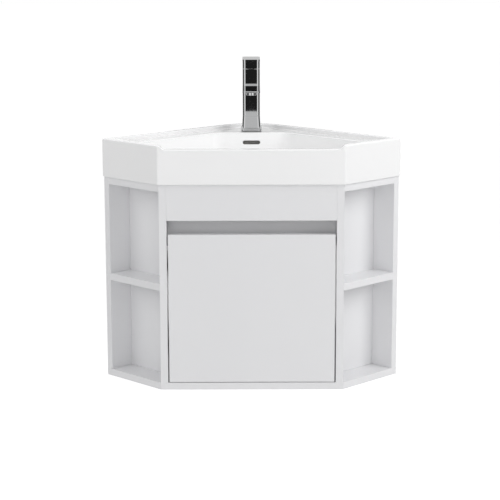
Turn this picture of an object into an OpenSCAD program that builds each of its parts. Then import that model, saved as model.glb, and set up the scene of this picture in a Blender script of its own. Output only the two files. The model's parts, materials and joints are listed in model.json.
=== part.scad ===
// Wall-hung corner vanity unit: a glazed ceramic basin with a square single-lever mixer tap,
// on a board cabinet with one inset door, a finger-pull gap and a two-tier open niche on each side.
// The two rear sides stand against walls that meet at a right angle; the front faces -Y.
// The origin is at the middle of the base: X across the front, Y towards the corner, Z up.

/* [Plan] */
// Length of the basin along each wall, to the point where the walls meet
wall_len = 442; // [422:2:470]
// Length of each slanted side face, square to its wall
side_len = 172.5; // [162:0.5:185]
// Overhang of the basin past the cabinet, at the front and the sides
overhang = 4.5; // [2:0.5:6]

/* [Basin] */
// Height of the basin's apron and side rims
apron_h = 80; // [76:1:90]
// Depth of the front rim, the ledges and the tap deck below the side rims
rim_step = 8; // [6:1:12]
// Width of the rims at the front and the sides
rim_w = 15; // [13:1:18]
// Thickness of the upstand along each wall
upstand_w = 14; // [12:1:18]
// Distance from each wall to the edge of the bowl
ledge_w = 55; // [48:1:62]
// Distance from the front to the rear edge of the bowl
bowl_len = 282; // [270:1:288]
// Depth of the bowl below the deck, at the waste
bowl_depth = 86; // [78:1:90]
// Thickness of the ceramic under the bowl and the deck
shell = 9; // [8:0.5:9]
// Radius of the basin's rear corner
rear_r = 90; // [76:1:98]
// Radius of the basin's upright edges at the front
edge_r = 6; // [4:0.5:8]
// Radius of the basin's upright edges beside the walls
side_r = 3; // [2:0.5:5]
// Radius of the basin's top edges
lip_r = 3; // [2:0.5:4]
// Distance from the front to the waste
waste_y = 150; // [140:1:160]
// Distance from the rear edge of the bowl to the middle of the tap
tap_set = 43; // [38:1:48]
// Width of the overflow slot
overflow_w = 38; // [30:1:44]
// Height of the overflow slot
overflow_h = 9; // [7:0.5:11]
// Depth of the overflow slot's middle below the deck
overflow_drop = 20; // [18:1:26]

/* [Cabinet] */
// Height of the cabinet
cabinet_h = 430; // [410:5:470]
// Thickness of the boards
board = 15; // [14:0.5:18]
// Thickness of the door
door_t = 16; // [16:0.5:18]
// Gap at each side of the door
door_gap = 3; // [2.5:0.25:3.5]
// Gap under the door
door_gap_low = 1.5; // [1:0.25:3]
// Height of the fascia board above the door
fascia_h = 74.5; // [65:0.5:85]
// Height of the finger-pull gap between fascia and door
pull_h = 29; // [24:0.5:34]
// Depth of the finger-pull recess behind the fascia
pull_depth = 30; // [24:1:38]
// How far the top edge of the door stands above the recess floor
pull_lip = 10.5; // [8:0.5:14]
// Height of the board at the back of the recess
pull_back_h = 68; // [60:1:74]
// Depth of the side niches
niche_depth = 55; // [48:1:62]
// Depth of the top of the niche shelves below the top of the cabinet
shelf_drop = 205.5; // [190:0.5:220]
// Height of the upper wall rails
top_rail_h = 80; // [70:1:100]
// Height of the lower wall rails
low_rail_h = 60; // [50:1:80]
// How much of the rear corner is cut off for the pipes
corner_cut = 42; // [38:1:52]
// Diameter of the wall screw holes
wall_hole_d = 6; // [5:0.5:8]
// Distance from the corner of the walls to the upper rail's screw hole
top_hole_u = 165; // [120:5:220]
// Distance from the corner of the walls to the lower rail's screw hole
low_hole_u = 165; // [120:5:220]
// Diameter of the dowels that join the boards
dowel_d = 8; // [6:1:8]
// Length of the dowels that join the boards
dowel_len = 24; // [20:1:24]

/* [Hinges] */
// Distance of the lower and upper hinge from the ends of the door
hinge_inset = 72; // [60:1:90]
// Diameter of the hinge cups
cup_d = 35; // [35:0.5:36]
// Depth of the hinge cups
cup_depth = 12.5; // [12:0.25:13]
// Distance from the edge of the door to the middle of a cup
cup_set = 22.5; // [22:0.25:24]
// Distance from the edge of the door to the hinge pin
pin_set = 12; // [11.5:0.25:13]
// Diameter of the hinge pins
hinge_pin_d = 3; // [2.5:0.25:3.5]
// Width of the hinge arms
arm_w = 16; // [14:0.5:18]
// Thickness of the hinge arms' metal
arm_t = 2; // [1.8:0.1:2.2]

/* [Tap] */
// Width of the tap's square column, spout and lever
tap_w = 38; // [36:0.5:40]
// Height of the base plate
plate_h = 7; // [5:0.5:9]
// Width of the base plate
plate_w = 46; // [44:0.5:50]
// Height of the column above the base plate
column_h = 129; // [120:1:140]
// Height of the spout's end above the base plate
spout_z = 86; // [80:1:92]
// Thickness of the spout at its end
spout_t = 3.3; // [3:0.1:5]
// Thickness of the spout at the column
spout_root_t = 15.4; // [12:0.1:18]
// How far the spout's top falls from the column to its end
spout_fall = 3.3; // [0:0.1:6]
// Reach of the spout, from the middle of the column to its end
spout_reach = 110; // [100:1:125]
// Length of the lever plate
lever_len = 93; // [80:1:100]
// Thickness of the lever plate
lever_t = 4; // [3:0.5:6]
// Height of the lever's block under the plate
lever_block_h = 19.8; // [18:0.2:24]
// How far the lever lifts, in degrees
lever_lift = 22; // [15:1:25]
// Diameter of the cartridge
cartridge_d = 27; // [25:0.5:28]
// Diameter of the aerator
aerator_d = 22; // [20:0.5:24]
// Drop of the aerator below the spout
aerator_drop = 6; // [4:0.5:8]
// Diameter of the tap hole in the basin
tap_hole_d = 35; // [33:0.5:36]
// Diameter of the fixing stud
stud_d = 8; // [6:1:8]
// Diameter of the two inlet threads
inlet_d = 10; // [8:0.5:10]

/* [Waste] */
// Diameter of the waste hole in the basin
waste_hole_d = 46; // [45:0.5:48]
// Diameter of the waste's flange
flange_d = 64; // [60:1:66]
// Outer diameter of the waste's threaded tail
tail_d = 42; // [40:0.5:42]
// Length of the tail below the basin's boss
tail_len = 45; // [38:1:55]
// Wall of the waste's tail
tail_wall = 3; // [2.5:0.5:3.5]
// Diameter of the push plug's cap
plug_d = 58; // [54:1:58]
// How far the push plug travels
plug_travel = 8; // [6:0.5:8]

/* [Clearances] */
// Running clearance of pins and stems
run_gap = 0.06; // [0.04:0.01:0.08]
// Loose clearance of seated pieces
seat_gap = 0.3; // [0.2:0.05:0.5]

/* [Hidden] */
$fn = 64;
hull_fn = 32;       // sides of the circles inside a hull
tiny = 0.01;
root2 = sqrt(2);

// Plan: the basin's outline, with the walls meeting at [0, apex_y]
half_w = (wall_len - side_len) / root2;
apex_y = (wall_len + side_len) / root2;
depth = apex_y - rear_r * (root2 - 1);
deck_z = apron_h - rim_step;
floor_z = deck_z - bowl_depth;
tap_y = bowl_len + tap_set;
duct_t = 8;

// Cabinet: levels below the basin, and the partitions' faces
part_out = half_w - overhang * (root2 - 1);
part_in = part_out - board;
front_y = overhang;
rear_y = apex_y - corner_cut;
panel_z = -cabinet_h + board;
fascia_z = -fascia_h;
door_top = fascia_z - pull_h;
door_low = panel_z + door_gap_low;
door_half = part_in - door_gap;
door_back = front_y + door_t;
pull_floor_z = door_top - pull_lip;
pull_y = front_y + board + pull_depth;
buffer_t = 2;
buffer_inset = 40;  // keeps the left buffer clear of the turning edge of the door
stile_w = niche_depth + board + 5;
rail_end = overhang + stile_w;

// Hinges: the pin's place in plan, and the heights of the two hinges
pin_x = -door_half + pin_set;
pin_y = front_y + door_t / 2;
cup_x = -door_half + cup_set;
cup_wall = 1;
hinge_heights = [door_low + hinge_inset, door_top - hinge_inset];
neck = norm([pin_set, door_t / 2]) + 0.8;    // clears the corner of the turning door
plate_x = -part_in;
plate_t = 3;
arm_len = 62;
screw_r = 2;
plate_len = 52;
plate_wide = 22;
saddle_len = 30;
plate_set = 26;     // from the far end of the arm's channel to the middle of the plate
plate_screw_rise = 16;
plate_screw_len = 12;

// Tap: heights above the deck
gasket_t = 1;
body_z = deck_z + plate_h;
split_z = body_z + column_h;
split_gap = 1.2;
tilt_z = split_z + 6;
lever_z = split_z + split_gap;
lever_top = lever_z + lever_block_h + lever_t;
column_r = 6.5;
spindle_r = 6;
spindle_pin_r = 1.5;
cartridge_h = 24;
nut_h = 7;
aerator_y = tap_y - spout_reach + 16;
stud_y = tap_y + 11;
inlet_y = tap_y - 4;
inlet_x = 8.5;
thread_depth = 12;
stud_len = 78;
clamp_z = deck_z - shell;
clamp_seal_t = 3;
clamp_washer_t = 2;
stud_nut_h = 8;
washer_low = clamp_z - clamp_seal_t - clamp_washer_t;
shoulder_h = 4;
nut_wall = 3;
spindle_depth = 17;
aerator_in = spout_t - 1.5;
spout_edge = 1.2;
lever_screw_r = 2.5;
lever_screw_z = lever_z + 15;

// Waste: levels below the bowl's floor
boss_low = floor_z - 44;
seal_t = 2;
lower_seal_t = 4;
nut_flange_t = 2;
waste_nut_h = 10;
waste_nut_low = boss_low - lower_seal_t - nut_flange_t - waste_nut_h;
guide_z = floor_z - 42;
guide_t = 4;
tail_low = boss_low - tail_len;
tail_in = tail_d / 2 - tail_wall;
groove_w = 2;
trap_top = waste_nut_low - 2 * groove_w;
window_drop = 25;
window_d = 9;

// Push plug and its spring
plug_z = floor_z + plug_travel + 1;
plug_stem_r = 3;
plug_boss_h = 7;
spring_gap = 0.6;
spring_low = guide_z + guide_t + spring_gap;
spring_high = plug_z - plug_boss_h - spring_gap;
wire_r = 0.6;
coil_r = 4.4;
turns = 7;

// ---- Lines, points and outlines in plan ----

function unit(v) = v / norm(v);
function mirrored(p) = [-p[0], p[1]];

// Where the right side face, moved in by d, crosses the right wall line, moved in by w
function side_wall(d, w) = let (a = half_w - d * root2, b = apex_y - w * root2) [(a + b) / 2, (b - a) / 2];
// A point of the right side face's line, moved in by d, at a given x or y
function side_at_x(d, x) = [x, x - half_w + d * root2];
function side_at_y(d, y) = [half_w - d * root2 + y, y];
// A point of the right wall's line, moved in by w, at a given x or y
function wall_at_x(w, x) = [x, apex_y - w * root2 - x];
function wall_at_y(w, y) = [apex_y - w * root2 - y, y];
// A point near the right wall: u along the wall from the corner, w in from the wall
function wall_point(u, w) = [(u - w) / root2, apex_y - (u + w) / root2];

// Five-sided outline of the unit, moved in by f, d and w at the front, the sides and the walls
function outline5(f, d, w) = [mirrored(side_at_y(d, f)), side_at_y(d, f), side_wall(d, w),
    [0, apex_y - w * root2], mirrored(side_wall(d, w))];
// The same with the rear corner cut off straight at y
function outline6(f, d, w, y) = [mirrored(side_at_y(d, f)), side_at_y(d, f), side_wall(d, w),
    wall_at_y(w, y), mirrored(wall_at_y(w, y)), mirrored(side_wall(d, w))];

// Tangent points and centre of a corner p between a and b that is rounded to radius r
function tangents(a, p, b, r) = let (u = unit(a - p), v = unit(b - p), t = r / tan(acos(u * v) / 2))
    [p + u * t, p + v * t];
function centre(a, p, b, r) = let (u = unit(a - p), v = unit(b - p))
    p + unit(u + v) * r / sin(acos(u * v) / 2);

// Convex area with each corner rounded to its own radius
module rounded(points, radii, sides = 64) {
    n = len(points);
    polygon([for (i = [0:n - 1])
        each tangents(points[(i + n - 1) % n], points[i], points[(i + 1) % n], radii[i])]);
    for (i = [0:n - 1])
        translate(centre(points[(i + n - 1) % n], points[i], points[(i + 1) % n], radii[i]))
            circle(radii[i], $fn = sides);
}

module rounded_square(w, d, r, sides = 64)
    rounded([[-w / 2, -d / 2], [w / 2, -d / 2], [w / 2, d / 2], [-w / 2, d / 2]], [r, r, r, r], sides);

// Moves the plan frame, with its front at y = 0 and its zero height under the basin, to the origin
module placed() translate([0, -depth / 2, cabinet_h]) children();

// A board lying flat, and a board given by its plan, between two heights
module slab(points, low, high) translate([0, 0, low]) linear_extrude(high - low) polygon(points);

module both_sides() {
    children();
    mirror([1, 0, 0]) children();
}

module tube(r_out, r_in, low, high) translate([0, 0, low]) difference() {
    cylinder(r = r_out, h = high - low);
    translate([0, 0, -1]) cylinder(r = r_in, h = high - low + 2);
}

// ---- Basin ----

// Outer form, its top edges rounded over in steps
module basin_body() hull() for (a = [0, 30, 60, 90]) {
    cut = lip_r * (1 - cos(a));
    low = a == 0 ? 0 : apron_h - lip_r * (1 - sin(a)) - tiny;
    high = apron_h - lip_r * (1 - sin(a));
    front = max(edge_r - cut, 0.5);
    side = max(side_r - cut, 0.5);
    translate([0, 0, low]) linear_extrude(high - low)
        rounded(outline5(cut, cut, cut), [front, front, side, rear_r - cut, side], hull_fn);
}

// Bowl: steep walls down to a soft floor that falls to the waste; grow gives the shell's outside
module bowl_form(grow) {
    levels = [[deck_z + 1, 0.6, 26], [deck_z - 42, 15, 32], [deck_z - 51, 24, 40], [deck_z - 56, 38, 46]];
    hull() {
        for (v = levels) {
            in = v[1] - grow;
            translate([0, 0, v[0] - grow]) linear_extrude(tiny)
                rounded(outline6(rim_w + in, rim_w + in, ledge_w + in, bowl_len - in * 1.4),
                    [v[2], v[2], v[2], v[2] * 1.6, v[2] * 1.6, v[2]], hull_fn);
        }
        translate([0, waste_y, floor_z - grow]) cylinder(r = flange_d / 2 + 4 + grow, h = tiny);
    }
}

// Space inside the rims, above the ledges, the deck and the bowl
module rim_space() translate([0, 0, deck_z]) linear_extrude(apron_h)
    rounded(outline5(rim_w, rim_w, upstand_w), [10, 10, 8, rear_r - upstand_w, 8]);

// Lowered stretch of the front rim, with sloping ends
module front_step() {
    low = half_w - 14;
    translate([0, rim_w + edge_r, 0]) rotate([90, 0, 0]) linear_extrude(rim_w + 2 * edge_r)
        polygon([[-low, deck_z], [low, deck_z], [low + 1.5 * rim_step, apron_h + 1],
            [-low - 1.5 * rim_step, apron_h + 1]]);
}

// Overflow duct: down behind the bowl from the slot, then forward to the waste.
// With no wall it is the hollow, and with a wall the ceramic round it.
module duct(wall) {
    bend_z = floor_z + 19;
    back_y = bowl_len - 4;
    top_z = deck_z - overflow_drop + overflow_h / 2 + 1.5;
    translate([-overflow_w / 2 - wall, back_y - wall, bend_z - wall])
        cube([overflow_w + 2 * wall, duct_t + 2 * wall, top_z - bend_z + 2.5 * wall]);
    hull() {
        translate([-overflow_w / 2 - wall, back_y - wall, bend_z - wall])
            cube([overflow_w + 2 * wall, duct_t + 2 * wall, duct_t + 2 * wall]);
        translate([-12 - wall, waste_y + 10, floor_z - 30 - wall])
            cube([24 + 2 * wall, 16 + wall, 10 + 2 * wall]);
    }
}

module overflow_slot() translate([0, bowl_len, deck_z - overflow_drop]) rotate([90, 0, 0])
    linear_extrude(40) {
        square([overflow_w - overflow_h, overflow_h], center = true);
        for (s = [-1, 1]) translate([s * (overflow_w - overflow_h) / 2, 0]) circle(d = overflow_h);
    }

module basin() color("white") placed() difference() {
    union() {
        difference() {
            basin_body();
            translate([0, 0, -1]) linear_extrude(deck_z - shell + 1)
                rounded(outline5(12, 12, 12), [8, 8, 8, rear_r - 12, 8]);
        }
        bowl_form(shell);
        translate([0, waste_y, boss_low]) cylinder(r = waste_hole_d / 2 + 10, h = floor_z - boss_low - 2);
        duct(5);
    }
    bowl_form(0);
    rim_space();
    front_step();
    duct(0);
    overflow_slot();
    translate([0, waste_y, boss_low - 1]) cylinder(d = waste_hole_d, h = floor_z - boss_low + 2);
    translate([0, waste_y, floor_z - seal_t - 2]) cylinder(d = flange_d + 1, h = seal_t + 3);
    translate([0, tap_y, deck_z - 2 * shell]) cylinder(d = tap_hole_d, h = 3 * shell);
}

// ---- Cabinet boards ----

// Dowels of the right half, drawn along x from each partition's outer or inner face
niche_dowel_set = 22;
niche_dowel_rear = 12;
floor_dowel_set = 40;
floor_dowel_step = 120;
dowel_back_y = side_at_x(overhang + niche_depth, part_out)[1];
niche_dowel_ys = [front_y + niche_dowel_set, dowel_back_y - niche_dowel_rear];
floor_dowel_ys = [front_y + floor_dowel_set, front_y + floor_dowel_set + floor_dowel_step];
module dowel_pegs(r, len_each) {
    for (y = niche_dowel_ys) for (z = [-board / 2, -shelf_drop - board / 2])
        translate([part_out, y, z]) rotate([0, 90, 0]) cylinder(r = r, h = len_each, center = true);
    for (y = floor_dowel_ys) translate([part_out - board / 2, y, panel_z])
        cylinder(r = r, h = len_each, center = true);
}

// Holes for the dowels, a little longer and wider than the pegs
module dowel_holes() both_sides() dowel_pegs(dowel_d / 2 + run_gap, dowel_len + 2 * seat_gap);

module dowels() color("burlywood") placed() both_sides() dowel_pegs(dowel_d / 2, dowel_len);

module board_colour() color([0.87, 0.87, 0.88]) placed() children();

module bottom_panel() board_colour() difference() {
    slab(outline6(front_y, overhang, 0, rear_y), -cabinet_h, panel_z);
    dowel_holes();
}

module right_partition() board_colour() difference() {
    slab([[part_in, front_y], [part_out, front_y], wall_at_x(board, part_out), wall_at_x(board, part_in)],
        panel_z, 0);
    dowel_holes();
}

module right_wall_stile() board_colour() slab([side_wall(overhang, 0), side_wall(rail_end, 0),
    side_wall(rail_end, board), side_wall(overhang, board)], panel_z, 0);

module right_niche_back() board_colour() slab([side_at_x(overhang + niche_depth, part_out),
    side_wall(overhang + niche_depth, board), side_wall(overhang + niche_depth + board, board),
    side_at_x(overhang + niche_depth + board, part_out)], panel_z, 0);

// Board that fills a niche between partition, wall stile and back panel
module niche_board(top) board_colour() difference() {
    slab([side_at_x(overhang, part_out), side_wall(overhang, board),
        side_wall(overhang + niche_depth, board), side_at_x(overhang + niche_depth, part_out)],
        top - board, top);
    dowel_holes();
}

// Rail along a wall, with a screw hole at the distance u from the corner
module rail(low, high, u) board_colour() difference() {
    slab([wall_at_y(0, rear_y - board), side_wall(rail_end, 0), side_wall(rail_end, board),
        wall_at_y(board, rear_y - board)], low, high);
    translate(concat(wall_point(u, board / 2), (low + high) / 2)) rotate([90, 0, -45])
        cylinder(d = wall_hole_d, h = 2 * board, center = true);
}

module right_niche_top() niche_board(0);
module right_shelf() niche_board(-shelf_drop);
module right_top_rail() rail(-top_rail_h, 0, top_hole_u);
module right_low_rail() rail(panel_z, panel_z + low_rail_h, low_hole_u);

module left_partition() color([0.87, 0.87, 0.88]) difference() {
    mirror([1, 0, 0]) right_partition();
    placed() at_plate_screws() translate([0, 0, -plate_screw_len])
        cylinder(r = screw_r, h = plate_screw_len + 1);
}
module left_wall_stile() mirror([1, 0, 0]) right_wall_stile();
module left_niche_back() mirror([1, 0, 0]) right_niche_back();
module left_niche_top() mirror([1, 0, 0]) right_niche_top();
module left_shelf() mirror([1, 0, 0]) right_shelf();
module left_top_rail() mirror([1, 0, 0]) right_top_rail();
module left_low_rail() mirror([1, 0, 0]) right_low_rail();

module corner_post() board_colour() slab([wall_at_y(0, rear_y), mirrored(wall_at_y(0, rear_y)),
    mirrored(wall_at_y(0, rear_y - board)), wall_at_y(0, rear_y - board)], panel_z, 0);

module fascia() board_colour() translate([-part_in, front_y, fascia_z]) cube([2 * part_in, board, fascia_h]);
module pull_back() board_colour() translate([-part_in, pull_y, pull_floor_z])
    cube([2 * part_in, board, pull_back_h]);
// Floor of the recess, cut away at the hinges' end where the edge of the door turns
module pull_floor() board_colour() difference() {
    translate([-part_in, door_back + buffer_t, pull_floor_z - board])
        cube([2 * part_in, pull_y + board - door_back - buffer_t, board]);
    translate([pin_x, pin_y, pull_floor_z - board - 1]) cylinder(r = neck, h = board + 2);
}

// ---- Door and hinges ----

module at_hinges() for (z = hinge_heights) translate([pin_x, pin_y, z]) children();

// A cup's axis, from the back face of the door inwards
module at_cups() for (z = hinge_heights) translate([cup_x, door_back, z]) rotate([90, 0, 0]) children();
cup_screw_rise = 24;
cup_screw_len = 10;

module door() board_colour() difference() {
    translate([-door_half, front_y, door_low]) cube([2 * door_half, door_t, door_top - door_low]);
    at_cups() translate([0, 0, -1]) cylinder(d = cup_d + 2 * run_gap, h = cup_depth + 1 + run_gap);
    at_cups() for (s = [-1, 1]) translate([0, s * cup_screw_rise, -1])
        cylinder(r = screw_r, h = cup_screw_len + 1);
}

module door_buffers() color("lightgray") placed() for (s = [-1, 1])
    translate([s * (door_half - buffer_inset), door_back + run_gap, pull_floor_z - board / 2])
        rotate([-90, 0, 0]) cylinder(d = 9, h = buffer_t - run_gap);

module hinge_cups() color("silver") placed() difference() {
    at_cups() {
        cylinder(d = cup_d, h = cup_depth);
        translate([0, 0, -1.4]) linear_extrude(1.4) union() {
            circle(d = cup_d + 4);
            rounded_square(15, 2 * cup_screw_rise + 14, 6);
        }
    }
    at_cups() translate([0, 0, -2]) cylinder(d = cup_d - 2 * cup_wall, h = cup_depth + 2 - cup_wall);
    at_cups() for (s = [-1, 1]) translate([0, s * cup_screw_rise, -3]) cylinder(r = screw_r + 0.2, h = 4);
    at_hinges() cylinder(d = hinge_pin_d, h = cup_d, center = true);
}

module hinge_cup_screws() color("gray") placed() at_cups() for (s = [-1, 1])
    translate([0, s * cup_screw_rise, -1.4]) {
        cylinder(r = screw_r - run_gap, h = cup_screw_len);
        translate([0, 0, -1.6]) cylinder(r = 3.6, h = 1.6);
    }

// Length of a pin whose ends stay just inside the cup's round wall
pin_len = 2 * sqrt(pow(cup_d / 2, 2) - pow(cup_set - pin_set + hinge_pin_d / 2, 2)) - 0.4;
module hinge_pins() color("gray") placed() at_hinges() cylinder(d = hinge_pin_d, h = pin_len, center = true);

// Cranked arm, seen from above: eye, neck round the edge of the door, and the channel on its plate
module hinge_arm() difference() {
    channel_x = plate_x - pin_x + plate_t;
    union() {
        cylinder(r = hinge_pin_d / 2 + 1.6, h = arm_w, center = true);
        linear_extrude(arm_w, center = true) {
            translate([0, -arm_t / 2]) square([neck + arm_t, arm_t]);
            translate([neck, -arm_t / 2]) square([arm_t, neck + arm_t * 1.5]);
            translate([channel_x, neck]) square([neck + arm_t - channel_x, arm_t]);
        }
        translate([channel_x, neck, 0]) difference() {
            translate([0, 0, -arm_w / 2]) cube([9, arm_len, arm_w]);
            translate([-1, arm_t, -arm_w / 2 + arm_t]) cube([10 - arm_t, arm_len, arm_w - 2 * arm_t]);
        }
    }
    cylinder(r = hinge_pin_d / 2 + run_gap, h = 2 * arm_w, center = true);
}
module hinge_arms() color("silver") placed() at_hinges() hinge_arm();

// Mounting plate with a raised saddle that the arm's channel drops over
module at_plates() for (z = hinge_heights) translate([plate_x, pin_y + neck + arm_len - plate_set, z])
    rotate([0, 90, 0]) children();
module hinge_plates() color("silver") placed() at_plates() difference() {
    union() {
        linear_extrude(plate_t - 0.2) rounded_square(plate_len, plate_wide, 8);
        linear_extrude(plate_t + 3) rounded_square(arm_w - 2 * arm_t - 1, saddle_len, 2);
    }
    for (s = [-1, 1]) translate([s * plate_screw_rise, 0, -1]) cylinder(r = screw_r + 0.2, h = 2 * plate_t);
}
module at_plate_screws() at_plates() for (s = [-1, 1]) translate([s * plate_screw_rise, 0, 0]) children();
module hinge_plate_screws() color("gray") placed() at_plate_screws() {
    translate([0, 0, 1 - plate_screw_len])
        cylinder(r = screw_r - run_gap, h = plate_screw_len + plate_t - 1);
    translate([0, 0, plate_t - 0.2]) cylinder(r = 3.8, h = 1.8);
}

// ---- Tap ----

// Moves a piece that is drawn round the tap's own axis to the tap's place
module at_tap() placed() translate([0, tap_y, 0]) children();

// Spout: a wedge as seen from the side, with a rounded end, cut from a bar with rounded corners
module spout() {
    spout_top = spout_t + spout_fall;
    translate([0, 0, body_z + spout_z]) intersection() {
        translate([0, (tap_w / 2 - spout_reach) / 2, spout_top - spout_root_t - 1])
            linear_extrude(spout_root_t + 2) rounded_square(tap_w, spout_reach + tap_w / 2, column_r);
        rotate([90, 0, 90]) translate([0, 0, -tap_w]) linear_extrude(2 * tap_w)
            offset(r = spout_edge) offset(delta = -spout_edge) polygon([
                [0, spout_top], [-tap_w / 2, spout_top], [-spout_reach, spout_t],
                [-spout_reach, 0], [-tap_w / 2, spout_top - spout_root_t], [0, spout_top - spout_root_t]]);
    }
}

module tap_body() color("gainsboro") at_tap() difference() {
    union() {
        translate([0, 0, body_z]) linear_extrude(column_h) rounded_square(tap_w, tap_w, column_r);
        translate([0, 0, body_z]) linear_extrude(26, scale = tap_w / (tap_w + 3))
            rounded_square(tap_w + 3, tap_w + 3, column_r, hull_fn);
        spout();
    }
    translate([0, 0, split_z - cartridge_h - nut_h]) cylinder(d = cartridge_d + 2 * seat_gap, h = 60);
    translate([0, aerator_y - tap_y, body_z + spout_z - aerator_drop])
        cylinder(d = aerator_d + 2 * run_gap, h = aerator_drop + aerator_in + 0.5);
    for (s = [-1, 1]) translate([s * inlet_x, inlet_y - tap_y, body_z - 1])
        cylinder(d = inlet_d, h = thread_depth + 1);
    translate([0, stud_y - tap_y, body_z - 1]) cylinder(d = stud_d, h = thread_depth + 1);
}

module tap_base_plate() color("gainsboro") at_tap() difference() {
    translate([0, 0, deck_z + gasket_t]) linear_extrude(plate_h - gasket_t)
        rounded_square(plate_w, plate_w, column_r + 1);
    translate([0, 0, deck_z]) cylinder(d = tap_hole_d - 3, h = 2 * plate_h);
}
module tap_base_gasket() color("dimgray") at_tap() difference() {
    translate([0, 0, deck_z]) linear_extrude(gasket_t) rounded_square(plate_w - 4, plate_w - 4, column_r);
    translate([0, 0, deck_z - 1]) cylinder(d = tap_hole_d - 1, h = 3);
}
module tap_stud() color("gray") placed() translate([0, stud_y, body_z + thread_depth - 1 - stud_len])
    cylinder(r = stud_d / 2 - run_gap, h = stud_len);

// Horseshoe that passes the inlets and grips the underside of the deck
module horseshoe(low, high) translate([0, 0, low]) linear_extrude(high - low) difference() {
    rounded_square(50, 46, 20);
    translate([0, -17]) rounded_square(28, 44, 8);
    translate([0, stud_y - tap_y]) circle(d = stud_d + 2 * seat_gap);
}
module tap_clamp_seal() color("dimgray") at_tap() horseshoe(clamp_z - clamp_seal_t, clamp_z);
module tap_clamp_washer() color("silver") at_tap() horseshoe(washer_low, clamp_z - clamp_seal_t);
module tap_stud_nut() color("goldenrod") placed() translate([0, stud_y, washer_low - stud_nut_h])
    difference() {
        cylinder(d = 15, h = stud_nut_h, $fn = 6);
        translate([0, 0, -1]) cylinder(d = stud_d, h = stud_nut_h + 2);
    }

module tap_cartridge() color("ivory") at_tap() difference() {
    translate([0, 0, split_z - cartridge_h - nut_h]) {
        cylinder(d = cartridge_d, h = cartridge_h - shoulder_h);
        cylinder(d = cartridge_d - 2 * nut_wall - 1, h = cartridge_h);
    }
    translate([0, 0, split_z - nut_h - spindle_depth - 1]) cylinder(r = spindle_r + run_gap, h = 30);
}
module tap_cartridge_nut() color("goldenrod") at_tap() tube(cartridge_d / 2, cartridge_d / 2 - nut_wall,
    split_z - nut_h - shoulder_h, split_z - 0.5);
module tap_spindle() color("silver") at_tap() difference() {
    translate([0, 0, split_z - nut_h - spindle_depth])
        cylinder(r = spindle_r, h = tilt_z - split_z + nut_h + spindle_depth + 7);
    translate([0, 0, tilt_z]) rotate([0, 90, 0]) cylinder(r = spindle_pin_r + run_gap, h = 30, center = true);
}
module tap_spindle_pin() color("gray") at_tap() translate([0, 0, tilt_z]) rotate([0, 90, 0])
    cylinder(r = spindle_pin_r, h = tap_w - 10, center = true);

// Lever: a flat plate on a square block whose rear underside is cut away so that it can tilt
module tap_lever() color("gainsboro") at_tap() difference() {
    union() {
        translate([0, 0, lever_z]) linear_extrude(lever_block_h) rounded_square(tap_w, tap_w, column_r);
        translate([0, (tap_w - lever_len) / 2, lever_top - lever_t]) linear_extrude(lever_t)
            rounded_square(tap_w, lever_len, column_r);
    }
    translate([0, 0, tilt_z]) rotate([lever_lift, 0, 0]) translate([-tap_w, 0, split_z - tilt_z - 40 + 0.5])
        cube([2 * tap_w, 2 * tap_w, 40]);
    translate([-spindle_r - seat_gap, -12, lever_z - 1]) cube([2 * (spindle_r + seat_gap), 24, 15]);
    translate([0, 0, tilt_z]) rotate([0, 90, 0]) cylinder(r = spindle_pin_r, h = tap_w - 9.5, center = true);
    at_lever_screw() cylinder(r = lever_screw_r, h = 10);
}
module at_lever_screw() translate([0, tap_w / 2 - 6, lever_screw_z]) rotate([-90, 0, 0]) children();
module tap_lever_screw() color("gray") at_tap() at_lever_screw()
    difference() {
        cylinder(r = lever_screw_r - run_gap, h = 5);
        translate([0, 0, 3]) cylinder(d = 2.5, h = 5, $fn = 6);
    }

module aerator_shell() color("silver") placed() translate([0, aerator_y, body_z + spout_z]) difference() {
    translate([0, 0, -aerator_drop]) cylinder(d = aerator_d, h = aerator_drop + aerator_in);
    translate([0, 0, -aerator_drop - 1]) cylinder(d = aerator_d - 4, h = aerator_drop + 12);
}
module aerator_insert() color("lightgray") placed() translate([0, aerator_y, body_z + spout_z]) difference() {
    translate([0, 0, -aerator_drop + 1.5]) cylinder(d = aerator_d - 4 - 2 * run_gap, h = 6);
    for (ring = [[0, 1], [3.2, 6], [6.2, 12]]) for (k = [0:ring[1] - 1]) rotate(360 * k / ring[1])
        translate([ring[0], 0, -aerator_drop]) cylinder(d = 1.6, h = 12, $fn = 16);
}

// ---- Waste ----

module at_waste() placed() translate([0, waste_y, 0]) children();

// Flanged body. The shallow groove round the tail only marks the trap's stretch of it off from the nut's.
module waste_body() color("silver") at_waste() difference() {
    rotate_extrude() polygon([[0, tail_low], [tail_d / 2, tail_low], [tail_d / 2, trap_top],
        [tail_d / 2 - 1, trap_top], [tail_d / 2 - 1, trap_top + groove_w], [tail_d / 2, trap_top + groove_w],
        [tail_d / 2, floor_z - 2], [flange_d / 2, floor_z - 2], [flange_d / 2, floor_z - 1],
        [flange_d / 2 - 1.5, floor_z + 0.4], [0, floor_z + 0.4]]);
    translate([0, 0, tail_low - 1]) cylinder(r = tail_in, h = guide_z - tail_low + 1);
    translate([0, 0, guide_z + guide_t]) cylinder(r = tail_in, h = 60);
    // Spider that guides the plug's stem: three openings between a hub and a narrow ring
    for (a = [0, 120, 240]) rotate(a) intersection() {
        tube(tail_in - 1, 6, guide_z - 1, guide_z + 5);
        translate([0, 0, guide_z - 2]) linear_extrude(8) polygon([[0, 0], [40, 12], [40, 40], [-4, 40]]);
    }
    translate([0, 0, guide_z - 2]) cylinder(r = plug_stem_r + run_gap, h = guide_t + 6);
    // Windows that take the overflow's water
    for (a = [0, 90, 180, 270]) rotate(a + 45) translate([0, 0, floor_z - window_drop]) rotate([0, 90, 0])
        cylinder(d = window_d, h = tail_d);
}
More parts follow.
